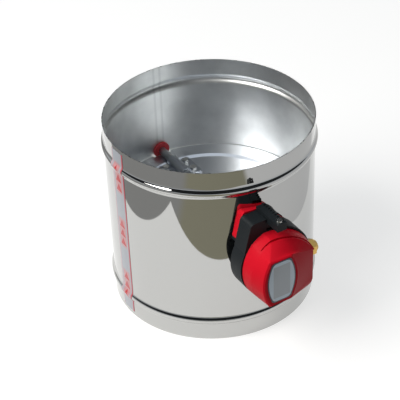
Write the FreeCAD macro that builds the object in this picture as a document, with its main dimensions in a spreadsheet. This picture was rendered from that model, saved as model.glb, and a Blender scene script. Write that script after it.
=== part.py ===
import FreeCAD, Part
import math
import os
import re
import Sketcher

# Round motorised duct damper, standing on its lower spigot.
# Origin: centre of the lower end plane. +Z up the duct, shaft along Y, actuator towards -Y.
# In the actuator's sketches x is across (towards +X), y is up and depth is the distance from the axis.

os.makedirs("parts", exist_ok=True)
V = FreeCAD.Vector
doc = FreeCAD.newDocument("duct_damper")

SIZES = {
    # Rolled duct
    "duct_radius": 125.0,
    "duct_length": 240.0,
    "duct_gauge": 0.8,
    "bead_inset": 28.0,
    "bead_rise": 2.8,
    "bead_crest": 5.0,
    "bead_root": 6.5,
    "film_gauge": 0.25,
    "film_arc": 10.5,
    "film_bearing": 182.0,
    "film_inset": 5.0,
    # Blade and what clamps it to the shaft
    "axis_height": 120.0,
    "shaft_radius": 5.0,
    "blade_radius": 123.2,
    "blade_gauge": 1.2,
    "blade_step_radius": 98.0,
    "blade_step": 2.0,
    "notch_half": 13.0,
    "notch_start": 119.3,
    "saddle_start": 58.5,
    "saddle_length": 36.0,
    "saddle_half": 22.0,
    "saddle_gauge": 2.0,
    "seat_gauge": 2.0,
    "bolt_across": 14.0,
    "bolt_inset": 8.0,
    "bolt_radius": 2.5,
    "bolt_flats": 8.0,
    "bolt_head": 3.5,
    "nut_height": 4.0,
    # Shaft bushes and the far end
    "bush_barrel": 8.0,
    "bush_flange": 11.0,
    "bush_start": 120.5,
    "bush_lip": 3.1,
    "bush_end": 128.5,
    "bush_nut_flats": 24.0,
    "shaft_far_end": 134.0,
    "ring_place": 130.6,
    "ring_gauge": 1.2,
    "ring_groove": 0.5,
    "ring_radius": 8.0,
    "washer_radius": 9.0,
    # Actuator case, depths from the duct's axis
    "plate_start": 125.05,
    "plate_depth": 129.0,
    "base_depth": 150.6,
    "seal_depth": 151.4,
    "waist_depth": 168.0,
    "front_depth": 187.5,
    "case_wall": 2.5,
    "rear_across": -8.0,
    "rear_rise": 6.0,
    "rear_radius": 46.5,
    "rear_right": 38.5,
    "rear_bottom": -40.0,
    "rear_corner": 13.0,
    "base_top_arc": 54.0,
    "base_side_arc": 47.5,
    "rear_top_arc": 65.0,
    "rear_side_arc": 54.0,
    "waist_across": -10.0,
    "waist_rise": 5.0,
    "waist_radius": 43.2,
    "waist_right": 32.5,
    "waist_bottom": -37.5,
    "waist_corner": 10.0,
    "waist_top_arc": 58.0,
    "waist_side_arc": 48.0,
    "front_left": -40.5,
    "front_right": -7.5,
    "front_top": 37.0,
    "front_bottom": -26.5,
    "front_corner": 3.0,
    "front_bulge": 60.0,
    "front_edge": 1.5,
    "collar_depth": 165.0,
    "collar_taper": 1.9,
    "collar_thick": 6.0,
    "groove_width": 1.4,
    "groove_inset": 0.7,
    "label_inset": 2.6,
    "label_lift": 3.0,
    "label_corner": 5.0,
    "label_gauge": 0.6,
    # Upper tab, ribbed block and red back plate
    "tab_low": 30.0,
    "tab_low_left": -48.5,
    "tab_top": 66.0,
    "tab_top_left": -34.0,
    "tab_side_left": -40.8,
    "tab_side_top": 60.0,
    "tab_corner": 6.5,
    "tab_right": -19.3,
    "back_low_left": -44.6,
    "back_top": 68.6,
    "back_reach": 112.0,
    "back_right": -8.0,
    "back_radius": 42.0,
    "pad_left": -28.0,
    "pad_right": 22.5,
    "pad_top": 35.0,
    "pad_bottom": -27.0,
    "block_left": -19.0,
    "block_right": -7.0,
    "block_bottom": 53.8,
    "block_top": 71.0,
    "block_depth": 172.0,
    "block_lip": 61.0,
    "rib_pitch": 4.4,
    "rib_gap": 2.0,
    "rib_height": 1.0,
    "block_screw_depth": 167.3,
    "block_screw_across": -13.5,
    "block_screw_head": 3.5,
    # Cable gland
    "gland_depth": 141.2,
    "gland_rise": -7.0,
    "gland_thread": 7.0,
    "gland_flats": 20.0,
    "gland_nut_flats": 18.0,
    # Drive train inside the case
    "gear_module": 0.75,
    "gear_start": 134.0,
    "gear_width": 5.0,
    "drive_bearing": 170.0,
    "hub_radius": 9.0,
    "motor_plate_depth": 143.0,
    "motor_plate_gauge": 1.5,
    "relief_start": 29.0,
    "motor_radius": 15.0,
    "motor_length": 20.0,
    "spindle_radius": 2.0,
    "shaft_near_end": 150.0,
    "post_radius": 3.5,
    "screw_radius": 1.5,
    "cam_radius": 7.5,
    "cam_lobe": 9.8,
    "cam_start": 146.0,
    "cam_width": 3.5,
    "switch_start": 11.5,
    "switch_thick": 6.0,
    "switch_length": 18.0,
    "switch_height": 10.0,
    "button_start": 10.25,
    "board_left": -23.0,
    "board_low": -32.0,
    "board_width": 32.5,
    "board_height": 13.0,
    "terminal_left": -17.0,
    "terminal_low": -31.0,
    "terminal_width": 20.0,
    "terminal_tall": 10.0,
    "terminal_height": 7.5,
    "fixing_radius": 1.95,
    "fixing_tip": 121.0,
    "hole_play": 0.1,
}
GEAR_TEETH = 54
PINION_TEETH = 18

sheet = doc.addObject("Spreadsheet::Sheet", "Sizes")
for row, (alias, amount) in enumerate(SIZES.items(), start=1):
    sheet.set("A%d" % row, alias.replace("_", " "))
    sheet.set("B%d" % row, str(amount))
    sheet.setAlias("B%d" % row, alias)
doc.recompute()


def formula(text):
    """Point every named size in a text such as "duct_radius - duct_gauge" at the sheet."""
    return re.sub(r"[a-z]+(?:_[a-z]+)+", lambda found: "Sizes." + found.group(), text)


def value(text):
    return float(sheet.evalExpression(formula(text)))


def bind(feature, field, text):
    feature.setExpression(field, formula(text))


def minus(text):
    return "-(" + text + ")"


# Sketch and feature helpers

def add_body(name):
    body = doc.addObject("PartDesign::Body", name)
    body.Label = name
    return body


def add_sketch(body, role, depth="0"):
    sketch = body.newObject("Sketcher::SketchObject", body.Name + "_sketch")
    plane = next(item for item in body.Origin.OriginFeatures if item.Role == role)
    sketch.AttachmentSupport = (plane, [""])
    sketch.MapMode = "FlatFace"
    bind(sketch, ".AttachmentOffset.Base.z", depth)
    return sketch


def hold(sketch, kind, geometry, text):
    """Add one measured constraint and tie it to the sheet."""
    number = sketch.addConstraint(Sketcher.Constraint(kind, *geometry, value(text)))
    bind(sketch, "Constraints[%d]" % number, text)


def add_circle(sketch, across, up, radius):
    circle = Part.Circle(V(value(across), value(up), 0), V(0, 0, 1), value(radius))
    edge = sketch.addGeometry(circle)
    hold(sketch, "Radius", (edge,), radius)
    hold(sketch, "DistanceX", (-1, 1, edge, 3), across)
    hold(sketch, "DistanceY", (-1, 1, edge, 3), up)


def add_arc(sketch, start, end, radius):
    """Arc from start to end; a positive radius has its centre left of the way from start to end."""
    chord = end - start
    height = math.sqrt(max(0.0, radius ** 2 - chord.Length ** 2 / 4))
    side = V(-chord.y, chord.x, 0).normalize() * math.copysign(height, radius)
    centre = (start + end) * 0.5 + side
    first, last = (start, end) if radius > 0 else (end, start)
    low = math.atan2(first.y - centre.y, first.x - centre.x)
    high = math.atan2(last.y - centre.y, last.x - centre.x)
    if high < low:
        high += 2 * math.pi
    edge = sketch.addGeometry(Part.ArcOfCircle(Part.Circle(centre, V(0, 0, 1), abs(radius)), low, high))
    return (edge, 1, 2) if radius > 0 else (edge, 2, 1)


def add_outline(sketch, corners):
    """Closed outline through corners (across, up), or (across, up, radius) where an arc follows."""
    spots = [V(value(corner[0]), value(corner[1]), 0) for corner in corners]
    spans = []
    for number, corner in enumerate(corners):
        start = spots[number]
        end = spots[(number + 1) % len(spots)]
        if len(corner) == 2:
            spans.append((sketch.addGeometry(Part.LineSegment(start, end)), 1, 2))
        else:
            spans.append(add_arc(sketch, start, end, value(corner[2])))
            hold(sketch, "Radius", (spans[-1][0],), "abs(" + corner[2] + ")")
    for number, (edge, first, last) in enumerate(spans):
        before = spans[number - 1]
        sketch.addConstraint(Sketcher.Constraint("Coincident", before[0], before[2], edge, first))
        hold(sketch, "DistanceX", (-1, 1, edge, first), corners[number][0])
        hold(sketch, "DistanceY", (-1, 1, edge, first), corners[number][1])


def box_corners(left, low, right, high):
    return [(left, low), (right, low), (right, high), (left, high)]


def add_feature(body, kind, sketch, **fields):
    feature = body.newObject("PartDesign::" + kind, body.Name + "_" + kind.lower())
    feature.Profile = sketch
    for field, text in fields.items():
        bind(feature, field, text)
    return feature


def pad(body, sketch, length):
    return add_feature(body, "Pad", sketch, Length=length)


def pocket(body, sketch, length):
    """Cut from the sketch against its normal, and make sure that something was cut."""
    doc.recompute()
    before = body.Shape.Volume
    feature = add_feature(body, "Pocket", sketch, Length=length)
    doc.recompute()
    if not body.Shape.Volume < before:
        raise RuntimeError(body.Name + ": a pocket cuts nothing")
    return feature


def revolve(body, sketch, angle="360"):
    feature = body.newObject("PartDesign::Revolution", body.Name + "_revolution")
    feature.Profile = sketch
    feature.ReferenceAxis = (sketch, ["V_Axis"])
    bind(feature, "Angle", angle)
    return feature


def loft(body, kind, sketches):
    feature = body.newObject("PartDesign::" + kind, body.Name + "_" + kind.lower())
    feature.Profile = sketches[0]
    feature.Sections = sketches[1:]
    feature.Ruled = True
    return feature


def edges_where(shape, test):
    return ["Edge%d" % (number + 1) for number, edge in enumerate(shape.Edges) if test(edge)]


def fillet(body, radius, test):
    doc.recompute()
    base = body.Tip
    feature = body.newObject("PartDesign::Fillet", body.Name + "_fillet")
    feature.Base = (base, edges_where(base.Shape, test))
    bind(feature, "Radius", radius)
    return feature


# Primitive helpers

UPRIGHT = FreeCAD.Rotation()
OUTWARD = FreeCAD.Rotation(V(1, 0, 0), 90)
RIGHTWARD = FreeCAD.Rotation(V(0, 1, 0), 90)


def put(feature, place, turn):
    feature.Placement = FreeCAD.Placement(V(), turn)
    for letter, text in zip("xyz", place):
        bind(feature, ".Placement.Base." + letter, text)
    return feature


def cylinder(name, radius, length, place, turn=UPRIGHT):
    feature = doc.addObject("Part::Cylinder", name)
    bind(feature, "Radius", radius)
    bind(feature, "Height", length)
    return put(feature, place, turn)


def hexagon(name, flats, length, place, turn=UPRIGHT):
    feature = doc.addObject("Part::Prism", name)
    feature.Polygon = 6
    bind(feature, "Circumradius", "(" + flats + ") / sqrt(3)")
    bind(feature, "Height", length)
    return put(feature, place, turn)


def block(name, size, place, turn=UPRIGHT):
    feature = doc.addObject("Part::Box", name)
    for field, text in zip(("Length", "Width", "Height"), size):
        bind(feature, field, text)
    return put(feature, place, turn)


def fuse(name, pieces):
    feature = doc.addObject("Part::MultiFuse", name)
    feature.Shapes = pieces
    return feature


def cut(name, base, tool):
    feature = doc.addObject("Part::Cut", name)
    feature.Base = base
    feature.Tool = tool
    return feature


def group(name, pieces):
    """Identical separate solids under one name."""
    feature = doc.addObject("Part::Compound", name)
    feature.Links = pieces
    return feature


def up(text):
    """Height of a point that is given from the shaft's axis."""
    return "axis_height + " + text


def case_place(across, depth, rise):
    return (across, minus(depth), up(rise))


# Duct wall, with two rolled beads

BEAD_SUM = "(bead_crest + bead_root)"
BEAD_DROP = "(bead_crest + bead_root - bead_rise)"
BEAD_SPAN = "sqrt(" + BEAD_SUM + "^2 - " + BEAD_DROP + "^2)"


def bead_points(height, offset):
    """The wall's four points at one bead, upwards, on a surface offset outwards from the duct's radius."""
    share = "((bead_crest + " + offset + ") / " + BEAD_SUM + ")"
    wall = "duct_radius + " + offset
    tangent = "duct_radius + bead_rise - bead_crest + " + BEAD_DROP + " * " + share
    return [(wall, height + " - " + BEAD_SPAN), (tangent, height + " - " + BEAD_SPAN + " * " + share),
            (tangent, height + " + " + BEAD_SPAN + " * " + share), (wall, height + " + " + BEAD_SPAN)]


def wall_corners(inner, outer, low, high):
    """Section of a strip that follows the wall, between two offsets and two heights."""
    beads = ("bead_inset", "(duct_length - bead_inset)")
    corners = [("duct_radius + " + outer, low)]
    for height in beads:
        bottom, lower, upper, top = bead_points(height, outer)
        root = "(" + outer + " - bead_root)"
        corners += [bottom + (root,), lower + ("bead_crest + " + outer,), upper + (root,), top]
    corners += [("duct_radius + " + outer, high), ("duct_radius + " + inner, high)]
    for height in reversed(beads):
        bottom, lower, upper, top = bead_points(height, inner)
        root = "(bead_root - (" + inner + "))"
        corners += [top + (root,), upper + ("-(bead_crest + " + inner + ")",), lower + (root,), bottom]
    return corners + [("duct_radius + " + inner, low)]


FIXING_PLACES = (("18", "30"), ("-22", "30"), ("18", "-22"), ("-22", "-22"))


def make_duct_shell():
    body = add_body("duct_shell")
    section = add_sketch(body, "XZ_Plane")
    add_outline(section, wall_corners("(-duct_gauge)", "0", "0", "duct_length"))
    revolve(body, section)
    for depth in ("duct_radius + bead_rise", "-duct_radius / 2"):
        bush_hole = add_sketch(body, "XZ_Plane", depth)
        add_circle(bush_hole, "0", "axis_height", "bush_barrel + hole_play / 2")
        pocket(body, bush_hole, "duct_radius")
    fixing_holes = add_sketch(body, "XZ_Plane", "duct_radius + bead_rise")
    for across, rise in FIXING_PLACES:
        add_circle(fixing_holes, across, up(rise), "fixing_radius + hole_play / 2")
    pocket(body, fixing_holes, "duct_radius")


def make_film_strip():
    """Printed protective film left on the sheet's seam edge, over both beads."""
    body = add_body("film_strip")
    section = add_sketch(body, "XZ_Plane")
    add_outline(section, wall_corners("0", "film_gauge", "film_inset", "(duct_length - film_inset)"))
    sweep = revolve(body, section, "film_arc")
    sweep.Midplane = True
    body.Placement = FreeCAD.Placement(V(), FreeCAD.Rotation(V(0, 0, 1), 0))
    bind(body, ".Placement.Rotation.Angle", "film_bearing")


# Blade, shaft and clamps

SEAT_TOP = "(axis_height - shaft_radius)"
BLADE_TOP = "(axis_height - shaft_radius - seat_gauge)"
BLADE_LOW = "(axis_height - shaft_radius - seat_gauge - blade_gauge)"
BOLT_PLACES = [(side + "bolt_across", end + "(saddle_start + " + along + ")")
               for side in ("", "-") for end in ("", "-")
               for along in ("bolt_inset", "saddle_length - bolt_inset")]


def make_blade_plate():
    body = add_body("blade_plate")
    section = add_sketch(body, "XZ_Plane")
    step = "blade_step_radius"
    add_outline(section, [
        ("0", BLADE_LOW), (step, BLADE_LOW), (step + " + 2 * blade_step", BLADE_LOW + " + blade_step"),
        ("blade_radius", BLADE_LOW + " + blade_step"), ("blade_radius", BLADE_TOP + " + blade_step"),
        (step + " + 2 * blade_step - blade_gauge / 2", BLADE_TOP + " + blade_step"),
        (step + " - blade_gauge / 2", BLADE_TOP), ("0", BLADE_TOP)])
    revolve(body, section)
    cuts = add_sketch(body, "XY_Plane", "axis_height")
    add_outline(cuts, box_corners("-notch_half", "notch_start", "notch_half", "duct_radius"))
    add_outline(cuts, box_corners("-notch_half", "-duct_radius", "notch_half", "-notch_start"))
    for across, along in BOLT_PLACES:
        add_circle(cuts, across, along, "bolt_radius + hole_play")
    pocket(body, cuts, "axis_height / 2")


def make_saddle(name, start):
    """Formed strap over the shaft, with two flat feet."""
    body = add_body(name)
    section = add_sketch(body, "XZ_Plane", start)
    inner = "(shaft_radius + hole_play)"
    outer = "(shaft_radius + hole_play + saddle_gauge)"
    foot = SEAT_TOP + " + saddle_gauge"
    middle = "0"
    add_outline(section, [
        ("saddle_half", SEAT_TOP), ("saddle_half", foot), (outer, foot), (outer, "axis_height", outer),
        (middle, "axis_height + " + outer, outer), (minus(outer), "axis_height"), (minus(outer), foot),
        ("-saddle_half", foot), ("-saddle_half", SEAT_TOP), (minus(inner), SEAT_TOP),
        (minus(inner), "axis_height", minus(inner)), (middle, "axis_height + " + inner, minus(inner)),
        (inner, "axis_height"), (inner, SEAT_TOP)])
    pad(body, section, "saddle_length")
    holes = add_sketch(body, "XY_Plane", foot + " + saddle_gauge")
    for across, along in BOLT_PLACES:
        if value(along) * value(start) < 0:
            add_circle(holes, across, along, "bolt_radius + hole_play")
    pocket(body, holes, "3 * saddle_gauge")
    fillet(body, "saddle_gauge * 1.5",
           lambda edge: edge.BoundBox.XLength < 0.01 and edge.BoundBox.YLength < 0.01
           and abs(edge.BoundBox.XMin) > value("saddle_half") - 0.01)


def make_seat_plate(name, start):
    """Flat packing plate between the blade and the shaft."""
    body = add_body(name)
    section = add_sketch(body, "XZ_Plane", start)
    add_outline(section, box_corners("-saddle_half", BLADE_TOP, "saddle_half", SEAT_TOP))
    pad(body, section, "saddle_length")
    holes = add_sketch(body, "XY_Plane", SEAT_TOP)
    for across, along in BOLT_PLACES:
        if value(along) * value(start) < 0:
            add_circle(holes, across, along, "bolt_radius + hole_play")
    pocket(body, holes, "seat_gauge")


def make_clamp_fasteners():
    bolts = []
    nuts = []
    foot = SEAT_TOP + " + saddle_gauge"
    for number, (across, along) in enumerate(BOLT_PLACES, start=1):
        head = hexagon("bolt_head_%d" % number, "bolt_flats", "bolt_head", (across, along, foot))
        grip = "saddle_gauge + seat_gauge + blade_gauge + nut_height + bolt_radius"
        low = foot + " - (" + grip + ")"
        shank = cylinder("bolt_shank_%d" % number, "bolt_radius", grip + " + bolt_head / 2",
                         (across, along, low))
        bolts.append(fuse("bolt_%d" % number, [head, shank]))
        place = (across, along, BLADE_LOW + " - nut_height")
        hexed = hexagon("nut_hex_%d" % number, "bolt_flats", "nut_height", place)
        bore = cylinder("nut_bore_%d" % number, "bolt_radius", "nut_height", place)
        nuts.append(cut("nut_%d" % number, hexed, bore))
    group("clamp_bolts", bolts)
    group("clamp_nuts", nuts)


def make_shaft():
    body = add_body("shaft")
    section = add_sketch(body, "XY_Plane", "axis_height")
    bevel = "ring_groove"
    groove = "shaft_radius - ring_groove"
    ring_end = "ring_place + ring_gauge"
    add_outline(section, [
        ("0", "-shaft_near_end"), (groove, "-shaft_near_end"),
        ("shaft_radius", "-(shaft_near_end - " + bevel + ")"), ("shaft_radius", "ring_place"),
        (groove, "ring_place"), (groove, ring_end), ("shaft_radius", ring_end),
        ("shaft_radius", "shaft_far_end - " + bevel), (groove, "shaft_far_end"), ("0", "shaft_far_end")])
    revolve(body, section)


def make_bush(name, side):
    """Flanged plastic bush; side is the sign of Y where it sits."""
    body = add_body(name)
    section = add_sketch(body, "XY_Plane", "axis_height")
    bore = "shaft_radius + hole_play / 2"
    lip = "(bush_start + bush_lip)"
    add_outline(section, [
        (bore, side + "bush_start"), ("bush_flange - bush_lip / 4", side + "bush_start"),
        ("bush_flange", side + "(bush_start + bush_lip / 4)"), ("bush_flange", side + lip),
        ("bush_barrel", side + lip), ("bush_barrel", side + "bush_end"), (bore, side + "bush_end")])
    revolve(body, section)


def make_bush_nut(name, depth):
    """Flat ring nut outside the duct, at a depth from the duct's axis."""
    length = "bush_end - plate_start"
    place = ("0", minus(depth), "axis_height")
    ring = hexagon(name + "_hex", "bush_nut_flats", length, place, OUTWARD)
    bore = cylinder(name + "_bore", "bush_barrel", length, place, OUTWARD)
    cut(name, ring, bore)


def make_far_end_rings():
    washer = add_body("thrust_washer")
    face = add_sketch(washer, "XZ_Plane", "-ring_place + hole_play")
    add_circle(face, "0", "axis_height", "washer_radius")
    add_circle(face, "0", "axis_height", "shaft_radius + hole_play")
    pad(washer, face, "ring_place - bush_end - 2 * hole_play")
    ring = add_body("retaining_ring")
    face = add_sketch(ring, "XZ_Plane", "-(ring_place + ring_gauge)")
    add_circle(face, "0", "axis_height", "ring_radius")
    add_circle(face, "0", "axis_height", "shaft_radius - ring_groove")
    pad(ring, face, "ring_gauge")
    gap = add_sketch(ring, "XZ_Plane", "-ring_place")
    half = "shaft_radius - 2 * ring_groove"
    add_outline(gap, box_corners(minus(half), "axis_height - 2 * ring_radius", half, "axis_height"))
    pocket(ring, gap, "ring_gauge * 2")


# Actuator case

TOP_TURN = "110"
LEFT_TURN = "133"
LOW_TURN = "217"
RIGHT_TURN = "300"
COLLAR_TURN = "128"
CORNER_TURN = "2 deg"


def on_circle(across, rise, radius, angle):
    spoke = "%s + (%s) * %s(%s)"
    return (spoke % (across, radius, "cos", angle), up(spoke % (rise, radius, "sin", angle)))


def first_turn(part, inset):
    """Angle at which a section's circle meets its straight right side."""
    return "acos((%s_right - %s - 0.05 - %s_across) / (%s_radius - %s))" % (part, inset, part, part, inset)


def case_section(part, inset, arcs=""):
    """Round section, flatter at the top and the left, with a squared lower right corner.

    Its eight corners run anticlockwise from the upper right; arcs names the part of the flatter arcs."""
    top_arc = "(%s_top_arc - %s)" % (arcs or part, inset)
    side_arc = "(%s_side_arc - %s)" % (arcs or part, inset)
    across = part + "_across"
    rise = part + "_rise"
    radius = "(%s_radius - %s)" % (part, inset)
    right = "(%s_right - %s)" % (part, inset)
    bottom = "(%s_bottom + %s)" % (part, inset)
    corner = "(%s_corner - %s)" % (part, inset)
    start = first_turn(part, inset)
    end = "(180 deg + asin((%s - %s) / %s))" % (rise, bottom + " + 0.05", radius)
    turns = ((start, radius), (start + " + " + CORNER_TURN, top_arc), (TOP_TURN, radius),
             (LEFT_TURN, side_arc), (LOW_TURN, radius))
    corners = [on_circle(across, rise, radius, turn) + (arc,) for turn, arc in turns]
    corners.append(on_circle(across, rise, radius, end))
    corners.append((right + " - " + corner, up(bottom), corner))
    corners.append((right, up(bottom + " + " + corner)))
    return corners


def front_section(inset, lift="0", corner="front_corner"):
    """Barrel-sided front, with the same eight corners as the case's sections; lift raises its lower edge."""
    left = "(front_left + %s)" % inset
    right = "(front_right - %s)" % inset
    top = "(front_top - %s)" % inset
    bottom = "(front_bottom + %s + %s)" % (inset, lift)
    bulge = "(front_bulge - %s)" % inset
    return [(right, up(top + " - " + corner), corner), (right + " - " + corner, up(top)),
            (left + " + " + corner, up(top), corner), (left, up(top + " - " + corner), bulge),
            (left, up(bottom + " + " + corner), corner), (left + " + " + corner, up(bottom)),
            (right + " - " + corner, up(bottom), corner), (right, up(bottom + " + " + corner), bulge)]


def band(part, outwards, inwards):
    """Strip along a section's top, from its upper right corner to its upper left one."""
    outer = "(%s_radius + %s)" % (part, outwards)
    inner = "(%s_radius - %s)" % (part, inwards)
    outer_arc = "(%s_top_arc + %s)" % (part, outwards)
    inner_arc = "(%s_top_arc - %s)" % (part, inwards)
    centre = (part + "_across", part + "_rise")
    right_turn = "(%s + %s)" % (first_turn(part, "0"), CORNER_TURN)
    return [on_circle(*centre, outer, right_turn) + (outer_arc,),
            on_circle(*centre, outer, TOP_TURN) + (outer,),
            on_circle(*centre, outer, COLLAR_TURN),
            on_circle(*centre, inner, COLLAR_TURN) + (minus(inner),),
            on_circle(*centre, inner, TOP_TURN) + (minus(inner_arc),),
            on_circle(*centre, inner, right_turn)]


CAP_SCREW_PLACES = (("-16", "43"), ("-47.5", "6"), ("29.5", "-31"))
POST_PLACES = (("25.4", "-13"), ("11", "36.5"), ("-40.4", "-13"))
SHAFT_HOLE = "shaft_radius + 15 * hole_play"


def add_circles(sketch, places, radius):
    for across, rise in places:
        add_circle(sketch, across, up(rise), radius)


def make_actuator_base():
    body = add_body("actuator_base")
    face = add_sketch(body, "XZ_Plane", "plate_depth")
    add_outline(face, case_section("rear", "0", "base"))
    pad(body, face, "base_depth - plate_depth")
    tab = add_sketch(body, "XZ_Plane", "plate_depth")
    add_outline(tab, [
        ("tab_low_left", up("tab_low")), ("tab_right", up("tab_low")), ("tab_right", up("tab_top")),
        ("tab_top_left", up("tab_top"), "tab_corner"), ("tab_side_left", up("tab_side_top"))])
    pad(body, tab, "base_depth - plate_depth")
    hollow = add_sketch(body, "XZ_Plane", "base_depth")
    add_outline(hollow, case_section("rear", "case_wall", "base"))
    pocket(body, hollow, "base_depth - plate_depth - case_wall")
    core = add_sketch(body, "XZ_Plane", "base_depth - case_wall")
    add_outline(core, [
        ("tab_right - case_wall", up("tab_top - case_wall")), ("tab_top_left", up("tab_top - case_wall")),
        ("tab_side_left + case_wall", up("tab_side_top - case_wall")),
        ("tab_side_left + case_wall", up("tab_side_top - 3 * case_wall")),
        ("tab_right - case_wall", up("tab_side_top - case_wall"))])
    pocket(body, core, "base_depth - plate_depth")
    bosses = add_sketch(body, "XZ_Plane", "plate_depth")
    add_circles(bosses, CAP_SCREW_PLACES, "post_radius")
    pad(body, bosses, "base_depth - plate_depth")
    posts = add_sketch(body, "XZ_Plane", "plate_depth")
    add_circles(posts, POST_PLACES, "post_radius")
    pad(body, posts, "motor_plate_depth - plate_depth")
    holes = add_sketch(body, "XZ_Plane", "base_depth + case_wall")
    add_circle(holes, "0", "axis_height", SHAFT_HOLE)
    add_circles(holes, FIXING_PLACES, "fixing_radius + hole_play / 2")
    add_circles(holes, CAP_SCREW_PLACES, "screw_radius + hole_play")
    pocket(body, holes, "base_depth")
    heads = add_sketch(body, "XZ_Plane", "plate_depth + case_wall")
    add_circles(heads, CAP_SCREW_PLACES, "2 * screw_radius + hole_play")
    pocket(body, heads, "case_wall * 2")
    gland_hole = add_sketch(body, "YZ_Plane", "2 * rear_right")
    add_circle(gland_hole, "-gland_depth", up("gland_rise"), "gland_thread + hole_play")
    pocket(body, gland_hole, "2 * rear_right - rear_right / 2")


def make_cap_seal():
    body = add_body("cap_seal")
    face = add_sketch(body, "XZ_Plane", "base_depth")
    add_outline(face, case_section("rear", "case_wall / 5"))
    pad(body, face, "seal_depth - base_depth")
    window = add_sketch(body, "XZ_Plane", "seal_depth")
    add_outline(window, case_section("rear", "case_wall"))
    pocket(body, window, "2 * case_wall")


def make_actuator_cap():
    """Lofted cap: round at the base, narrowing to an offset barrel-sided front."""
    body = add_body("actuator_cap")
    sections = []
    for part, depth in (("rear", "seal_depth"), ("waist", "waist_depth")):
        sections.append(add_sketch(body, "XZ_Plane", depth))
        add_outline(sections[-1], case_section(part, "0"))
    for depth, inset in (("front_depth - front_edge", "0"), ("front_depth", "front_edge")):
        sections.append(add_sketch(body, "XZ_Plane", depth))
        add_outline(sections[-1], front_section(inset))
    loft(body, "AdditiveLoft", sections)
    collar = []
    for depth, outwards in (("seal_depth", "0"), ("collar_depth", "(-collar_taper)")):
        collar.append(add_sketch(body, "XZ_Plane", depth))
        add_outline(collar[-1], band("rear", outwards, "collar_thick"))
    loft(body, "AdditiveLoft", collar)
    groove = add_sketch(body, "XZ_Plane", "collar_depth + groove_width")
    add_outline(groove, band("waist", "rear_corner", "groove_inset"))
    pocket(body, groove, "groove_width")
    hollow = []
    for part, depth in (("rear", "seal_depth"), ("waist", "waist_depth")):
        hollow.append(add_sketch(body, "XZ_Plane", depth))
        add_outline(hollow[-1], case_section(part, "case_wall"))
    hollow.append(add_sketch(body, "XZ_Plane", "front_depth - case_wall"))
    add_outline(hollow[-1], front_section("case_wall"))
    loft(body, "SubtractiveLoft", hollow)
    bosses = add_sketch(body, "XZ_Plane", "seal_depth")
    add_circles(bosses, CAP_SCREW_PLACES, "post_radius")
    pad(body, bosses, "4 * case_wall")
    holes = add_sketch(body, "XZ_Plane", "seal_depth + 3.5 * case_wall")
    add_circles(holes, CAP_SCREW_PLACES, "screw_radius")
    pocket(body, holes, "6 * case_wall")


def make_label_plate():
    body = add_body("label_plate")
    face = add_sketch(body, "XZ_Plane", "front_depth")
    add_outline(face, front_section("label_inset", "label_lift", "label_corner"))
    pad(body, face, "label_gauge")


def make_cap_screws():
    screws = []
    for number, (across, rise) in enumerate(CAP_SCREW_PLACES, start=1):
        low = "plate_depth + hole_play"
        head = cylinder("cap_screw_head_%d" % number, "2 * screw_radius", "case_wall - hole_play",
                        case_place(across, low, rise), OUTWARD)
        shank = cylinder("cap_screw_shank_%d" % number, "screw_radius",
                         "seal_depth + 3 * case_wall - plate_depth", case_place(across, low, rise), OUTWARD)
        screws.append(fuse("cap_screw_%d" % number, [head, shank]))
    group("cap_screws", screws)


def make_back_plate():
    """Red plate behind the case, with a pad that follows the duct."""
    plate = add_body("back_plate_flat")
    face = add_sketch(plate, "XZ_Plane", "plate_start")
    add_circle(face, "rear_across", up("rear_rise"), "back_radius")
    pad(plate, face, "plate_depth - plate_start")
    tab = add_sketch(plate, "XZ_Plane", "back_reach")
    add_outline(tab, [
        ("back_low_left", up("tab_low")), ("back_right", up("tab_low")),
        ("back_right", up("back_top - tab_corner / 3")),
        ("tab_top_left", up("back_top"), "tab_corner"),
        ("back_low_left + tab_corner", up("back_top - tab_corner"))])
    pad(plate, tab, "plate_depth - back_reach")
    saddle = block("back_pad_block", ("pad_right - pad_left", "duct_radius / 8", "pad_top - pad_bottom"),
                   ("pad_left", "-plate_start", up("pad_bottom")))
    duct = cylinder("back_duct_form", "plate_start", "duct_length", ("0", "0", "0"))
    solid = cut("back_solid", fuse("back_joined", [plate, saddle]), duct)
    openings = [cylinder("back_nut_hole", "bush_nut_flats * 0.6", "duct_radius / 4",
                         ("0", "-duct_radius * 0.8", "axis_height"), OUTWARD)]
    for number, (across, rise) in enumerate(FIXING_PLACES, start=1):
        openings.append(cylinder("back_fixing_hole_%d" % number, "fixing_radius + hole_play / 2",
                                 "duct_radius / 4", (across, "-duct_radius * 0.8", up(rise)), OUTWARD))
    cut("back_plate", solid, fuse("back_openings", openings))


def make_mounting_screws():
    screws = []
    for number, (across, rise) in enumerate(FIXING_PLACES, start=1):
        top = "plate_depth + case_wall"
        head = cylinder("mounting_head_%d" % number, "2 * fixing_radius", "fixing_radius",
                        case_place(across, top, rise), OUTWARD)
        shank = cylinder("mounting_shank_%d" % number, "fixing_radius", top + " - fixing_tip",
                         case_place(across, "fixing_tip", rise), OUTWARD)
        screws.append(fuse("mounting_screw_%d" % number, [head, shank]))
    group("mounting_screws", screws)


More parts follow.
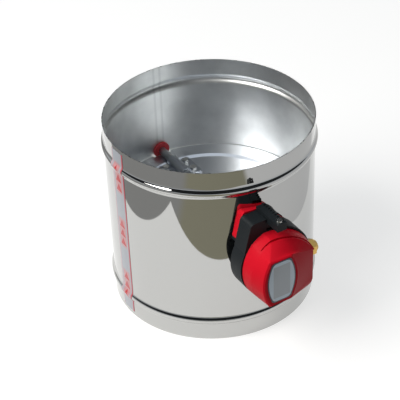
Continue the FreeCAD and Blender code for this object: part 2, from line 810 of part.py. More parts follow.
def make_ribbed_block():
    body = add_body("ribbed_block")
    face = add_sketch(body, "XZ_Plane", "plate_depth")
    add_outline(face, box_corners("block_left", up("block_bottom"), "block_right", up("block_top")))
    pad(body, face, "block_depth - plate_depth")
    gap = add_sketch(body, "XZ_Plane", "plate_depth + rib_pitch")
    add_outline(gap, [
        ("block_right - rib_height", up("block_bottom - rib_height")),
        ("block_right + rib_height", up("block_bottom - rib_height")),
        ("block_right + rib_height", up("block_top + rib_height")),
        ("block_right - 4 * rib_height", up("block_top + rib_height")),
        ("block_right - 4 * rib_height", up("block_top - rib_height")),
        ("block_right - rib_height", up("block_top - rib_height"))])
    groove = pocket(body, gap, "rib_gap")
    ribs = body.newObject("PartDesign::LinearPattern", "ribbed_block_ribs")
    ribs.Originals = [groove]
    ribs.Direction = (gap, ["N_Axis"])
    ribs.Occurrences = 9
    bind(ribs, "Length", "8 * rib_pitch")
    body.Tip = ribs
    under = add_sketch(body, "XZ_Plane", "block_depth")
    low = up("block_bottom - rib_height")
    add_outline(under, box_corners("block_left", low, "block_right", up("block_lip")))
    pocket(body, under, "block_depth - base_depth")
    screw_hole = add_sketch(body, "XY_Plane", up("block_top"))
    add_circle(screw_hole, "block_screw_across", "-block_screw_depth", "screw_radius + hole_play / 2")
    pocket(body, screw_hole, "5 * case_wall")


def make_block_screw():
    place = ("block_screw_across", "-block_screw_depth", up("block_top"))
    head = cylinder("block_screw_head", "block_screw_head", "case_wall", place)
    low = ("block_screw_across", "-block_screw_depth", up("block_top - 4.5 * case_wall"))
    shank = cylinder("block_screw_shank", "screw_radius", "5 * case_wall", low)
    slot = block("block_screw_slot", ("8 * case_wall", "case_wall / 3", "case_wall"),
                 ("block_screw_across - 4 * case_wall", "-block_screw_depth - case_wall / 6",
                  up("block_top + case_wall / 2")))
    cut("block_screw", fuse("block_screw_solid", [head, shank]), slot)


# Cable gland

def gland_place(across):
    return (across, "-gland_depth", up("gland_rise"))


def gland_ring(name, across, length, outer, bore):
    body = cylinder(name + "_outer", outer, length, gland_place(across), RIGHTWARD)
    hole = cylinder(name + "_hole", bore, length, gland_place(across), RIGHTWARD)
    return cut(name, body, hole)


def make_gland():
    bore = "gland_thread - case_wall / 2"
    collar = hexagon("gland_collar", "gland_flats", "1.6 * case_wall", gland_place("rear_right"), RIGHTWARD)
    thread = cylinder("gland_screw", "gland_thread", "6.2 * case_wall",
                      gland_place("rear_right - 2.6 * case_wall"), RIGHTWARD)
    bored = cylinder("gland_bore", bore, "12 * case_wall",
                     gland_place("rear_right - 4 * case_wall"), RIGHTWARD)
    cut("gland_body", fuse("gland_solid", [collar, thread]), bored)
    nut_start = "rear_right + 1.8 * case_wall"
    nut = hexagon("gland_nut_hex", "gland_nut_flats", "3 * case_wall", gland_place(nut_start), RIGHTWARD)
    dome = doc.addObject("Part::Cone", "gland_nut_dome")
    bind(dome, "Radius1", "gland_nut_flats / 2")
    bind(dome, "Radius2", "gland_nut_flats / 2 - case_wall")
    bind(dome, "Height", "1.6 * case_wall")
    put(dome, gland_place(nut_start + " + 3 * case_wall"), RIGHTWARD)
    inside = cylinder("gland_nut_inside", "gland_thread", "3.6 * case_wall",
                      gland_place("rear_right"), RIGHTWARD)
    mouth = cylinder("gland_nut_mouth", "gland_thread - case_wall / 2 + hole_play", "20 * case_wall",
                     gland_place("rear_right"), RIGHTWARD)
    shell = fuse("gland_nut_solid", [nut, dome])
    cut("gland_nut", cut("gland_nut_bored", shell, inside), mouth)
    gland_ring("gland_seal", "rear_right + 1.4 * case_wall", "5 * case_wall", bore, "gland_thread / 2")
    locknut = hexagon("gland_locknut_hex", "gland_flats - case_wall / 3", "case_wall",
                      gland_place("rear_right - 2 * case_wall - hole_play"), RIGHTWARD)
    locknut_bore = cylinder("gland_locknut_bore", "gland_thread", "2 * case_wall",
                            gland_place("rear_right - 2.5 * case_wall"), RIGHTWARD)
    cut("gland_locknut", locknut, locknut_bore)


# Drive train

PRESSURE_ANGLE = math.radians(20)
BACKLASH = 0.12
GEAR_CENTRES = "(%d * gear_module / 2)" % (GEAR_TEETH + PINION_TEETH)
MOTOR_ACROSS = GEAR_CENTRES + " * cos(drive_bearing)"
MOTOR_RISE = GEAR_CENTRES + " * sin(drive_bearing)"


def involute(angle):
    return math.tan(angle) - angle


def gear_face(teeth, bearing):
    """Face of an involute gear about the origin in XZ, with a tooth on the bearing in degrees."""
    size = value("gear_module")
    pitch_radius = teeth * size / 2
    base_radius = pitch_radius * math.cos(PRESSURE_ANGLE)
    tip_radius = pitch_radius + size
    root_radius = pitch_radius - 1.25 * size
    start_radius = max(base_radius, root_radius)
    half_turn = (math.pi * size / 2 - BACKLASH / 2) / 2 / pitch_radius + involute(PRESSURE_ANGLE)
    flank = [(root_radius, half_turn)] if root_radius < base_radius else []
    for share in (0.0, 0.5, 1.0):
        radius = start_radius + share * (tip_radius - start_radius)
        flank.append((radius, half_turn - involute(math.acos(base_radius / radius))))
    spots = []
    for tooth in range(teeth):
        middle = math.radians(bearing) + tooth * 2 * math.pi / teeth
        for side, points in ((-1, flank), (1, reversed(flank))):
            for radius, turn in points:
                angle = middle + side * turn
                spots.append(V(radius * math.cos(angle), 0, radius * math.sin(angle)))
    return Part.Face(Part.makePolygon(spots + spots[:1]))


def gear_solid(teeth, bearing, across, rise, hub_radius, hub_length, bore):
    """Spur gear with a hub on its outer side, centred on a point of the case."""
    width = value("gear_width")
    solid = gear_face(teeth, bearing).extrude(V(0, -width, 0))
    solid = solid.fuse(Part.makeCylinder(hub_radius, width + hub_length, V(), V(0, -1, 0)))
    if bore:
        solid = solid.cut(Part.makeCylinder(bore, width + hub_length, V(), V(0, -1, 0)))
    solid.translate(V(across, -value("gear_start"), value("axis_height") + rise))
    return solid.removeSplitter()


def make_output_gear():
    feature = doc.addObject("Part::Feature", "output_gear")
    hub_length = value("motor_plate_depth - gear_start - gear_width - 2 * hole_play")
    shape = gear_solid(GEAR_TEETH, value("drive_bearing"), 0, 0, value("hub_radius"), hub_length,
                       value("shaft_radius"))
    middle = value("gear_start + gear_width") + hub_length / 2
    pilot = Part.makeCylinder(value("screw_radius"), value("hub_radius") * 2,
                              V(0, -middle, value("axis_height")))
    feature.Shape = shape.cut(pilot)


def make_gear_set_screw():
    middle = "gear_start + gear_width + (motor_plate_depth - gear_start - gear_width - 2 * hole_play) / 2"
    cylinder("gear_set_screw", "screw_radius", "hub_radius - shaft_radius",
             ("0", minus(middle), "axis_height + shaft_radius"))


def make_motor_pinion():
    feature = doc.addObject("Part::Feature", "motor_pinion")
    across = value(MOTOR_ACROSS)
    rise = value(MOTOR_RISE)
    gap_turn = value("drive_bearing") + 180 + 180 / PINION_TEETH
    hub_length = value("motor_plate_depth - gear_start - gear_width + 3 * case_wall")
    feature.Shape = gear_solid(PINION_TEETH, gap_turn, across, rise, value("spindle_radius"), hub_length, 0)


def make_motor_plate():
    body = add_body("motor_plate")
    face = add_sketch(body, "XZ_Plane", "motor_plate_depth")
    radius = "(rear_radius - 2 * case_wall)"
    turns = ((first_turn("rear", "2 * case_wall"), "(base_top_arc - 2 * case_wall)"), (TOP_TURN, radius),
             (LOW_TURN, radius), (RIGHT_TURN, radius))
    add_outline(face, [on_circle("rear_across", "rear_rise", radius, turn) + (arc,) for turn, arc in turns])
    add_circle(face, "0", "axis_height", SHAFT_HOLE)
    add_circle(face, MOTOR_ACROSS, up(MOTOR_RISE), "1.5 * spindle_radius")
    add_circles(face, POST_PLACES, "screw_radius + hole_play")
    pad(body, face, "motor_plate_gauge")
    relief = add_sketch(body, "XZ_Plane", "base_depth")
    add_outline(relief, box_corners("relief_start", up("-rear_radius"), "2 * rear_right", up("rear_radius")))
    add_circles(relief, CAP_SCREW_PLACES[:2], "post_radius + 10 * hole_play")
    pocket(body, relief, "base_depth - plate_depth")


def make_motor():
    front = "motor_plate_depth + motor_plate_gauge"
    can = cylinder("motor_can_body", "motor_radius", "motor_length",
                   case_place(MOTOR_ACROSS, front, MOTOR_RISE), OUTWARD)
    ears = block("motor_can_ears", ("motor_radius / 2", "0.6 * case_wall", "2.7 * motor_radius"),
                 (MOTOR_ACROSS + " - motor_radius / 4", "-(" + front + " + 0.6 * case_wall)",
                  up(MOTOR_RISE + " - 1.35 * motor_radius")))
    bore = cylinder("motor_can_bore", "spindle_radius + hole_play / 2", "4 * case_wall",
                    case_place(MOTOR_ACROSS, "motor_plate_depth", MOTOR_RISE), OUTWARD)
    solid = cut("motor_can_bored", fuse("motor_can_solid", [can, ears]), bore)
    screws = []
    holes = []
    for number, side in enumerate(("1.18 * motor_radius", "-1.18 * motor_radius"), start=1):
        rise = MOTOR_RISE + " + " + side
        holes.append(cylinder("motor_ear_hole_%d" % number, "screw_radius", "4 * case_wall",
                              case_place(MOTOR_ACROSS, "motor_plate_depth", rise), OUTWARD))
        shank = cylinder("motor_screw_shank_%d" % number, "screw_radius", "1.2 * case_wall",
                         case_place(MOTOR_ACROSS, front, rise), OUTWARD)
        head = cylinder("motor_screw_head_%d" % number, "1.7 * screw_radius", "screw_radius",
                        case_place(MOTOR_ACROSS, front + " + 0.6 * case_wall", rise), OUTWARD)
        screws.append(fuse("motor_screw_%d" % number, [shank, head]))
    cut("motor_can", solid, fuse("motor_ear_holes", holes))
    group("motor_screws", screws)


def make_plate_screws():
    screws = []
    top = "motor_plate_depth + motor_plate_gauge"
    for number, (across, rise) in enumerate(POST_PLACES, start=1):
        head = cylinder("plate_screw_head_%d" % number, "1.8 * screw_radius", "screw_radius",
                        case_place(across, top, rise), OUTWARD)
        shank = cylinder("plate_screw_shank_%d" % number, "screw_radius", "motor_plate_gauge + screw_radius",
                         case_place(across, "motor_plate_depth", rise), OUTWARD)
        screws.append(fuse("plate_screw_%d" % number, [head, shank]))
    group("plate_screws", screws)


def make_limit_cam():
    """Cam on the shaft's end; its lobe points at one switch when closed and at the other when open."""
    body = add_body("limit_cam")
    disc = add_sketch(body, "XZ_Plane", "cam_start")
    add_circle(disc, "0", "axis_height", "cam_radius")
    add_circle(disc, "0", "axis_height", "shaft_radius")
    pad(body, disc, "cam_width")
    lobe = add_sketch(body, "XZ_Plane", "cam_start")
    add_outline(lobe, box_corners("shaft_radius + 10 * hole_play", up("-screw_radius"),
                                  "cam_lobe", up("screw_radius")))
    pad(body, lobe, "cam_width")


def make_switches():
    front = "(motor_plate_depth + motor_plate_gauge)"
    depth = front + " + switch_height"
    button = ("screw_radius / 1.5", "switch_start - button_start + screw_radius")
    middle = front + " + switch_height / 2"
    beside = block("closed_switch_case", ("switch_thick", "switch_height", "switch_length"),
                   case_place("switch_start", depth, "-switch_length / 2"))
    side_button = cylinder("closed_switch_button", *button,
                           case_place("button_start", middle, "0"), RIGHTWARD)
    fuse("closed_switch", [beside, side_button])
    below = block("open_switch_case", ("switch_length", "switch_height", "switch_thick"),
                  case_place("-switch_length / 2", depth, "-(switch_start + switch_thick)"))
    top_button = cylinder("open_switch_button", *button,
                          case_place("0", middle, "-(switch_start + screw_radius)"))
    fuse("open_switch", [below, top_button])


def make_electronics():
    """Circuit board on four feet, with the terminals for the supply cable."""
    front = "motor_plate_depth + motor_plate_gauge"
    board_start = front + " + case_wall"
    sheet_depth = board_start + " + motor_plate_gauge"
    feet = [block("circuit_board_sheet", ("board_width", "motor_plate_gauge", "board_height"),
                  case_place("board_left", sheet_depth, "board_low"))]
    inset = "2 * screw_radius"
    for across_name, across in (("left", inset), ("right", "board_width - " + inset)):
        for rise_name, rise in (("low", inset), ("high", "board_height - " + inset)):
            feet.append(cylinder("circuit_board_foot_%s_%s" % (across_name, rise_name), "screw_radius",
                                 "case_wall + motor_plate_gauge / 2",
                                 case_place("board_left + " + across, front, "board_low + " + rise),
                                 OUTWARD))
    fuse("circuit_board", feet)
    body = block("terminal_body", ("terminal_width", "terminal_tall", "terminal_height"),
                 case_place("terminal_left", sheet_depth + " + terminal_tall", "terminal_low"))
    holes = []
    for number in range(4):
        place = case_place("terminal_left + terminal_width * (%d + 0.5) / 4" % number,
                           sheet_depth + " + terminal_tall / 2", "terminal_low + terminal_height / 2")
        holes.append(cylinder("terminal_hole_%d" % number, "screw_radius", "terminal_tall", place, OUTWARD))
    cut("terminal_block", body, fuse("terminal_holes", holes))


make_duct_shell()
make_film_strip()
make_blade_plate()
make_saddle("far_saddle", "-(saddle_start + saddle_length)")
make_saddle("near_saddle", "saddle_start")
make_seat_plate("far_seat_plate", "-(saddle_start + saddle_length)")
make_seat_plate("near_seat_plate", "saddle_start")
make_clamp_fasteners()
make_shaft()
make_bush("far_bush", "")
make_bush("near_bush", "-")
make_bush_nut("far_bush_nut", "-bush_end")
make_bush_nut("near_bush_nut", "plate_start")
make_far_end_rings()
make_back_plate()
make_mounting_screws()
make_actuator_base()
make_cap_seal()
make_actuator_cap()
make_cap_screws()
make_label_plate()
make_ribbed_block()
make_block_screw()
make_gland()
make_output_gear()
make_gear_set_screw()
make_motor_pinion()
make_motor_plate()
make_motor()
make_plate_screws()
make_limit_cam()
make_switches()
make_electronics()
doc.recompute()

NODES = (
    "duct_shell", "film_strip", "blade_plate", "far_saddle", "near_saddle", "far_seat_plate",
    "near_seat_plate", "clamp_bolts", "clamp_nuts", "shaft", "far_bush", "near_bush", "far_bush_nut",
    "near_bush_nut", "thrust_washer", "retaining_ring", "back_plate", "mounting_screws", "actuator_base",
    "cap_seal", "actuator_cap", "cap_screws", "label_plate", "ribbed_block", "block_screw", "gland_body",
    "gland_nut", "gland_seal", "gland_locknut", "output_gear", "gear_set_screw", "motor_pinion",
    "motor_plate", "motor_can", "motor_screws", "plate_screws", "limit_cam", "closed_switch",
    "open_switch", "circuit_board", "terminal_block")

failed = [item.Name for item in doc.Objects if "Invalid" in item.State or "Error" in item.State]
if failed:
    raise RuntimeError("these features failed: " + ", ".join(failed))
for node in NODES:
    part = doc.getObject(node)
    if part.Shape.isNull() or not part.Shape.isValid():
        raise RuntimeError(node + " has no valid shape")
for node in NODES:
    part = doc.getObject(node)
    part.Label = node
    part.Shape.exportStep("parts/%s.step" % node)
    print("%-18s solids %d, volume %.0f mm3" % (node, len(part.Shape.Solids), part.Shape.Volume))
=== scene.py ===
import bpy
import math
from mathutils import Matrix, Vector

# Motorised round duct damper: looks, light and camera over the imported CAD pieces

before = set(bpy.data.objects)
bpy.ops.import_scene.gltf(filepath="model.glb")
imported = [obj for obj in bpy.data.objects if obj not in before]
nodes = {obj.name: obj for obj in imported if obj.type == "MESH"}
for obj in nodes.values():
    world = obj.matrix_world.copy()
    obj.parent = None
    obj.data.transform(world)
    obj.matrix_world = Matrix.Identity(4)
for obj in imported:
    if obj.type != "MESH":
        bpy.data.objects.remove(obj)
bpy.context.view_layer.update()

DUCT_RADIUS = 0.125
AXIS_HEIGHT = 0.12
CAMERA_TURN = math.radians(-30.5)
CAMERA_RISE = math.radians(35.78)
CAMERA_ROLL = math.radians(-1.98)
CAMERA_DISTANCE = 12.6414 * DUCT_RADIUS


# Shader helpers

def new_material(name):
    material = bpy.data.materials.new(name)
    material.use_nodes = True
    return material, material.node_tree, material.node_tree.nodes["Principled BSDF"]


def plain(name, color, roughness, metallic=0.0, coat=0.0, specular=0.5):
    material, tree, shader = new_material(name)
    shader.inputs["Base Color"].default_value = (*color, 1)
    shader.inputs["Roughness"].default_value = roughness
    shader.inputs["Metallic"].default_value = metallic
    shader.inputs["Coat Weight"].default_value = coat
    shader.inputs["Specular IOR Level"].default_value = specular
    return material, tree, shader


def add(tree, kind, **settings):
    node = tree.nodes.new("ShaderNode" + kind)
    for name, setting in settings.items():
        setattr(node, name, setting)
    return node


def feed(tree, socket, source):
    """Set a socket from a number, a colour or another node's socket."""
    if isinstance(source, bpy.types.NodeSocket):
        tree.links.new(source, socket)
    elif isinstance(source, tuple):
        socket.default_value = (*source, 1)
    else:
        socket.default_value = source


def calc(tree, operation, *sources):
    node = add(tree, "Math", operation=operation)
    for socket, source in zip(node.inputs, sources):
        feed(tree, socket, source)
    return node.outputs[0]


def product(tree, *sources):
    result = sources[0]
    for source in sources[1:]:
        result = calc(tree, "MULTIPLY", result, source)
    return result


def ramp(tree, source, low, high):
    """0 below low, 1 above high and smooth between; a low above high falls instead."""
    node = add(tree, "MapRange", interpolation_type="SMOOTHSTEP")
    feed(tree, node.inputs["Value"], source)
    node.inputs["From Min"].default_value = min(low, high)
    node.inputs["From Max"].default_value = max(low, high)
    node.inputs["To Min"].default_value = 0.0 if low < high else 1.0
    node.inputs["To Max"].default_value = 1.0 if low < high else 0.0
    return node.outputs["Result"]


def place_parts(tree):
    """The surface point's x, y and z in the row frame."""
    coordinates = add(tree, "TexCoord")
    parts = add(tree, "SeparateXYZ")
    tree.links.new(coordinates.outputs["Object"], parts.inputs[0])
    return parts.outputs


def mix_color(tree, factor, first, second):
    node = add(tree, "Mix", data_type="RGBA")
    feed(tree, node.inputs["Factor"], factor)
    feed(tree, node.inputs["A"], first)
    feed(tree, node.inputs["B"], second)
    return node.outputs["Result"]


def mix_number(tree, factor, first, second):
    node = add(tree, "Mix", data_type="FLOAT")
    feed(tree, node.inputs["Factor"], factor)
    feed(tree, node.inputs["A"], first)
    feed(tree, node.inputs["B"], second)
    return node.outputs["Result"]


def noise(tree, scale, detail=3.0, stretch=(1, 1, 1)):
    coordinates = add(tree, "TexCoord")
    mapping = add(tree, "Mapping")
    mapping.inputs["Scale"].default_value = stretch
    texture = add(tree, "TexNoise")
    texture.inputs["Scale"].default_value = scale
    texture.inputs["Detail"].default_value = detail
    tree.links.new(coordinates.outputs["Object"], mapping.inputs[0])
    tree.links.new(mapping.outputs[0], texture.inputs["Vector"])
    return texture.outputs["Fac"]


def bump(tree, shader, height, strength, distance):
    node = add(tree, "Bump")
    node.inputs["Strength"].default_value = strength
    node.inputs["Distance"].default_value = distance
    tree.links.new(height, node.inputs["Height"])
    tree.links.new(node.outputs[0], shader.inputs["Normal"])


def dress(names, material):
    for name in names:
        for slot in nodes[name].material_slots:
            slot.material = material


# Polished sheet: mirror outside, satin inside with a welded seam

SEAM_BEARING = math.radians(178)
INSIDE = (0.82, 0.83, 0.82)
INSIDE_ROUGHNESS = 0.38
OUTSIDE = (0.51, 0.51, 0.5)
OUTSIDE_ROUGHNESS = 0.035


def bearing(tree, x, y):
    """Angle about the duct's axis from -Y towards +X."""
    return calc(tree, "ARCTAN2", x, product(tree, y, -1.0))


def make_duct_material():
    material, tree, shader = plain("polished_sheet", OUTSIDE, OUTSIDE_ROUGHNESS, metallic=1.0)
    x, y, _ = place_parts(tree)
    geometry = add(tree, "NewGeometry")
    spoke = add(tree, "CombineXYZ")
    outwards = add(tree, "VectorMath", operation="DOT_PRODUCT")
    tree.links.new(x, spoke.inputs[0])
    tree.links.new(y, spoke.inputs[1])
    tree.links.new(geometry.outputs["Normal"], outwards.inputs[0])
    tree.links.new(spoke.outputs[0], outwards.inputs[1])
    outside = calc(tree, "GREATER_THAN", outwards.outputs["Value"], 0.0)
    turn = calc(tree, "ABSOLUTE", bearing(tree, x, y))
    off_seam = calc(tree, "ABSOLUTE", calc(tree, "SUBTRACT", turn, SEAM_BEARING))
    seam = ramp(tree, off_seam, 0.018, 0.006)
    clouds = noise(tree, 30.0, detail=4.0)
    inside = mix_color(tree, ramp(tree, clouds, 0.3, 0.7), INSIDE, tuple(0.86 * part for part in INSIDE))
    inside = mix_color(tree, product(tree, seam, 0.3), inside, tuple(0.5 * part for part in INSIDE))
    feed(tree, shader.inputs["Roughness"], mix_number(tree, outside, INSIDE_ROUGHNESS, OUTSIDE_ROUGHNESS))
    feed(tree, shader.inputs["Base Color"], mix_color(tree, outside, inside, OUTSIDE))
    waves = noise(tree, 7.0, detail=1.0, stretch=(1, 1, 0.4))
    bump(tree, shader, waves, 0.6, 0.002)
    return material


# Film: pale strip with groups of red triangles and a red line along each side

FILM_BEARING = math.radians(-88)
FILM_EDGE = math.radians(5.25)
GROUP_PITCH = 0.0785
TRIANGLE_PITCH = 0.013
TRIANGLE_HALF = 0.0074
FILM_PALE = (0.36, 0.38, 0.42)
FILM_RED = (0.5, 0.035, 0.04)


def make_film_material():
    material, tree, shader = plain("protective_film", FILM_PALE, 0.25, coat=0.2)
    x, y, z = place_parts(tree)
    turn = calc(tree, "SUBTRACT", bearing(tree, x, y), FILM_BEARING)
    across = calc(tree, "ABSOLUTE", product(tree, turn, DUCT_RADIUS))
    from_middle = calc(tree, "SUBTRACT", z, AXIS_HEIGHT)
    group = product(tree, calc(tree, "ROUND", calc(tree, "DIVIDE", from_middle, GROUP_PITCH)), GROUP_PITCH)
    in_group = calc(tree, "SUBTRACT", from_middle, group)
    inside_group = ramp(tree, calc(tree, "ABSOLUTE", in_group), 1.5 * TRIANGLE_PITCH, 1.46 * TRIANGLE_PITCH)
    cell = calc(tree, "FRACT", calc(tree, "ADD", calc(tree, "DIVIDE", in_group, TRIANGLE_PITCH), 1.5))
    half = product(tree, calc(tree, "SUBTRACT", 0.92, cell), TRIANGLE_HALF)
    past_side = calc(tree, "SUBTRACT", across, half)
    above_foot = ramp(tree, cell, 0.08, 0.14)
    triangle = product(tree, ramp(tree, past_side, 0.0004, -0.0004), above_foot, inside_group)
    near_group = ramp(tree, calc(tree, "ABSOLUTE", in_group), 1.8 * TRIANGLE_PITCH, 1.4 * TRIANGLE_PITCH)
    halo = product(tree, ramp(tree, across, 0.0085, 0.005), near_group)
    right_line = ramp(tree, turn, FILM_EDGE - 0.021, FILM_EDGE - 0.013)
    left_line = ramp(tree, turn, -FILM_EDGE + 0.02, -FILM_EDGE + 0.012)
    color = mix_color(tree, product(tree, halo, 0.75), FILM_PALE, (0.58, 0.2, 0.2))
    color = mix_color(tree, triangle, color, FILM_RED)
    color = mix_color(tree, product(tree, left_line, 0.4), color, (0.7, 0.28, 0.3))
    color = mix_color(tree, product(tree, right_line, 0.9), color, (0.5, 0.05, 0.07))
    feed(tree, shader.inputs["Base Color"], color)
    return material


# Label: dark border, pale field and a greyer middle

LABEL_MIDDLE = (-0.024, 0.12675)
LABEL_HALF = (0.01835, 0.02765)
LABEL_BULGE = 0.0574
LABEL_FIELD = (0.66, 0.75, 0.84)
LABEL_PANEL = (0.46, 0.48, 0.5)
LABEL_BORDER = (0.02, 0.03, 0.055)


def make_label_material():
    material, tree, shader = plain("label_film", LABEL_FIELD, 0.3, coat=0.2)
    x, _, z = place_parts(tree)
    across = calc(tree, "ABSOLUTE", calc(tree, "SUBTRACT", x, LABEL_MIDDLE[0]))
    rise = calc(tree, "ABSOLUTE", calc(tree, "SUBTRACT", z, LABEL_MIDDLE[1]))
    reach = calc(tree, "ADD", across, LABEL_BULGE - LABEL_HALF[0])
    spread = calc(tree, "SQRT", calc(tree, "ADD", product(tree, reach, reach), product(tree, rise, rise)))
    to_side = calc(tree, "SUBTRACT", LABEL_BULGE, spread)
    to_end = calc(tree, "SUBTRACT", LABEL_HALF[1], rise)
    to_edge = calc(tree, "SMOOTH_MIN", to_side, to_end, 0.006)
    border = ramp(tree, to_edge, 0.0015, 0.0009)
    panel = product(tree, ramp(tree, across, 0.0115, 0.0105), ramp(tree, rise, 0.0225, 0.0215))
    color = mix_color(tree, product(tree, panel, 0.75), LABEL_FIELD, LABEL_PANEL)
    color = mix_color(tree, border, color, LABEL_BORDER)
    feed(tree, shader.inputs["Base Color"], color)
    return material


# Back plate: red behind the tab, black where the case covers it

RED = (0.6, 0.006, 0.018)
BLACK = (0.009, 0.012, 0.014)
RED_ROUGHNESS = 0.42
RED_SPECULAR = 0.06
COVERED_BELOW = 0.153


def make_back_plate_material():
    material, tree, shader = plain("red_back_plate", RED, RED_ROUGHNESS, specular=RED_SPECULAR)
    _, _, z = place_parts(tree)
    clear = ramp(tree, z, COVERED_BELOW, COVERED_BELOW + 0.002)
    feed(tree, shader.inputs["Base Color"], mix_color(tree, clear, BLACK, RED))
    return material


# Plain materials by piece

def dress_all():
    steel, _, _ = plain("blade_sheet", (0.62, 0.65, 0.69), 0.3, metallic=1.0)
    plated, _, _ = plain("plated_steel", (0.45, 0.48, 0.52), 0.34, metallic=1.0)
    zinc, _, _ = plain("fasteners", (0.72, 0.72, 0.7), 0.25, metallic=1.0)
    bar, _, _ = plain("bright_bar", (0.42, 0.44, 0.46), 0.3, metallic=1.0)
    nylon, _, _ = plain("red_nylon", (0.5, 0.03, 0.04), 0.45)
    red, _, _ = plain("red_plastic", RED, RED_ROUGHNESS, specular=RED_SPECULAR)
    black, tree, shader = plain("black_plastic", BLACK, 0.5, specular=0.2)
    bump(tree, shader, noise(tree, 1100.0, detail=2.0), 0.2, 0.0002)
    rubber, _, _ = plain("black_rubber", (0.02, 0.02, 0.02), 0.7)
    brass, _, _ = plain("gland_brass", (0.62, 0.4, 0.12), 0.28, metallic=1.0)
    acetal, _, _ = plain("gear_plastic", (0.8, 0.78, 0.7), 0.45)
    can, _, _ = plain("motor_steel", (0.6, 0.6, 0.58), 0.3, metallic=1.0)
    board, _, _ = plain("board_laminate", (0.02, 0.12, 0.04), 0.4)
    green, _, _ = plain("terminal_green", (0.03, 0.2, 0.06), 0.45)
    dress(("duct_shell",), make_duct_material())
    dress(("film_strip",), make_film_material())
    dress(("blade_plate",), steel)
    dress(("far_saddle", "near_saddle", "far_seat_plate", "near_seat_plate", "motor_plate"), plated)
    dress(("clamp_bolts", "clamp_nuts", "thrust_washer", "retaining_ring", "mounting_screws", "cap_screws",
           "block_screw", "gear_set_screw", "motor_screws", "plate_screws"), zinc)
    dress(("shaft",), bar)
    dress(("far_bush", "near_bush", "far_bush_nut", "near_bush_nut"), nylon)
    dress(("actuator_cap",), red)
    dress(("back_plate",), make_back_plate_material())
    dress(("actuator_base", "ribbed_block", "closed_switch", "open_switch"), black)
    dress(("cap_seal", "gland_seal"), rubber)
    dress(("label_plate",), make_label_material())
    dress(("gland_body", "gland_nut", "gland_locknut", "motor_pinion"), brass)
    dress(("output_gear", "limit_cam"), acetal)
    dress(("motor_can",), can)
    dress(("circuit_board",), board)
    dress(("terminal_block",), green)


dress_all()


# Floor: a white sheet on grey ground, which the polished wall reflects

def floor_material(name, color, lift):
    """Diffuse colour that keeps the shadows, lifted for the camera and for reflections alike."""
    material, tree, shader = plain(name, color, 0.9, specular=0.0)
    path = add(tree, "LightPath")
    seen = calc(tree, "MAXIMUM", path.outputs["Is Camera Ray"],
                calc(tree, "MAXIMUM", path.outputs["Is Glossy Ray"], path.outputs["Is Transmission Ray"]))
    shader.inputs["Emission Color"].default_value = (*color, 1)
    feed(tree, shader.inputs["Emission Strength"], product(tree, seen, lift))
    return material


def ground_material(lift):
    """Grey ground, dimmer at the left, with an olive-grey stretch in front of the sheet."""
    material = floor_material("floor_ground", PALE_GROUND, lift)
    tree = material.node_tree
    shader = tree.nodes["Principled BSDF"]
    x, y, _ = place_parts(tree)
    along_x = product(tree, x, math.cos(CAMERA_TURN))
    across = calc(tree, "ADD", along_x, product(tree, y, math.sin(CAMERA_TURN)))
    olive = product(tree, ramp(tree, across, -0.21, -0.15), ramp(tree, across, 0.26, 0.22))
    grey = mix_color(tree, ramp(tree, across, 0.0, 0.3), DIM_GROUND, PALE_GROUND)
    color = mix_color(tree, olive, grey, OLIVE_GROUND)
    feed(tree, shader.inputs["Base Color"], color)
    feed(tree, shader.inputs["Emission Color"], color)
    return material


def add_floor(name, outline, height, material):
    mesh = bpy.data.meshes.new(name)
    mesh.from_pydata([(*spot, height) for spot in outline], [], [tuple(range(len(outline)))])
    mesh.materials.append(material)
    floor = bpy.data.objects.new(name, mesh)
    bpy.context.scene.collection.objects.link(floor)


SHEET = ((-1.3, -3.0), (-0.32, 0.03), (-0.24, 0.31), (0.27, 0.24), (0.28, -0.1), (1.3, -3.0))
GROUND = ((-6, -6), (6, -6), (6, 6), (-6, 6))
PALE_GROUND = (0.3, 0.3, 0.3)
DIM_GROUND = (0.13, 0.13, 0.128)
OLIVE_GROUND = (0.125, 0.12, 0.09)
SHEET_WHITE = (0.41, 0.41, 0.406)
FLOOR_LIFT = 1.6


def make_floor():
    """Both outlines are given as seen from the camera: to its right and towards it."""
    toward = Vector((math.sin(CAMERA_TURN), -math.cos(CAMERA_TURN)))
    side = Vector((math.cos(CAMERA_TURN), math.sin(CAMERA_TURN)))
    sheet = floor_material("floor_sheet", SHEET_WHITE, FLOOR_LIFT)
    ground = ground_material(FLOOR_LIFT)
    for name, outline, height, material in (("floor_sheet", SHEET, 0.0, sheet),
                                            ("floor_ground", GROUND, -0.002, ground)):
        add_floor(name, [side * across + toward * near for across, near in outline], height, material)


# World: pale horizon and pale sky with a dark band between

HORIZON = (0.6, 0.63, 0.66)
BAND = (0.02, 0.022, 0.024)
SKY = (0.68, 0.73, 0.8)
BAND_BEGINS = 0.15
BAND_ENDS = 0.82


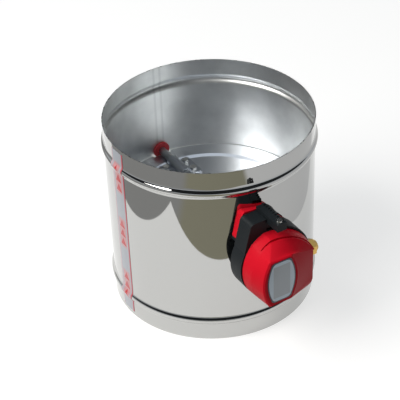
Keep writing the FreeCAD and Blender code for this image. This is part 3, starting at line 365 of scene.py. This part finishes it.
def make_world():
    world = bpy.data.worlds.new("studio")
    bpy.context.scene.world = world
    world.use_nodes = True
    tree = world.node_tree
    background = tree.nodes["Background"]
    coordinates = add(tree, "TexCoord")
    parts = add(tree, "SeparateXYZ")
    tree.links.new(coordinates.outputs["Generated"], parts.inputs[0])
    height = parts.outputs["Z"]
    color = mix_color(tree, ramp(tree, height, BAND_BEGINS, BAND_BEGINS + 0.02), HORIZON, BAND)
    color = mix_color(tree, ramp(tree, height, BAND_ENDS - 0.06, BAND_ENDS), color, SKY)
    feed(tree, background.inputs["Color"], color)
    background.inputs["Strength"].default_value = 1.0


# Lamps and camera

def make_light(name, place, aim, size, power, color=(1, 1, 1)):
    lamp = bpy.data.lights.new(name, "AREA")
    lamp.shape = "RECTANGLE"
    lamp.size, lamp.size_y = size
    lamp.energy = power
    lamp.color = color
    light = bpy.data.objects.new(name, lamp)
    light.location = place
    light.rotation_euler = (Vector(aim) - Vector(place)).to_track_quat("-Z", "Y").to_euler()
    bpy.context.scene.collection.objects.link(light)


def make_camera():
    """Camera fitted to the photo's ellipses: turned about the duct's axis, raised and slightly rolled."""
    level = math.cos(CAMERA_RISE)
    forward = Vector((-level * math.sin(CAMERA_TURN), level * math.cos(CAMERA_TURN), -math.sin(CAMERA_RISE)))
    right = Vector((math.cos(CAMERA_TURN), math.sin(CAMERA_TURN), 0))
    upward = right.cross(forward)
    rolled_right = math.cos(CAMERA_ROLL) * right + math.sin(CAMERA_ROLL) * upward
    rolled_up = math.cos(CAMERA_ROLL) * upward - math.sin(CAMERA_ROLL) * right
    eye = Vector((0, 0, AXIS_HEIGHT)) - CAMERA_DISTANCE * forward
    data = bpy.data.cameras.new("camera")
    data.sensor_width = 36.0
    data.lens = 116.6
    data.shift_x = -0.0287
    data.shift_y = -0.0099
    data.clip_end = 50.0
    camera = bpy.data.objects.new("camera", data)
    axes = Matrix((rolled_right, rolled_up, -forward)).transposed()
    camera.matrix_world = Matrix.Translation(eye) @ axes.to_4x4()
    bpy.context.scene.collection.objects.link(camera)
    bpy.context.scene.camera = camera


make_floor()
make_world()
make_light("key", (-2.0, 0.1, 2.1), (0, 0, 0.1), (1.8, 1.8), 88, (1, 0.98, 0.95))
make_camera()
bpy.context.scene.view_settings.view_transform = "Standard"
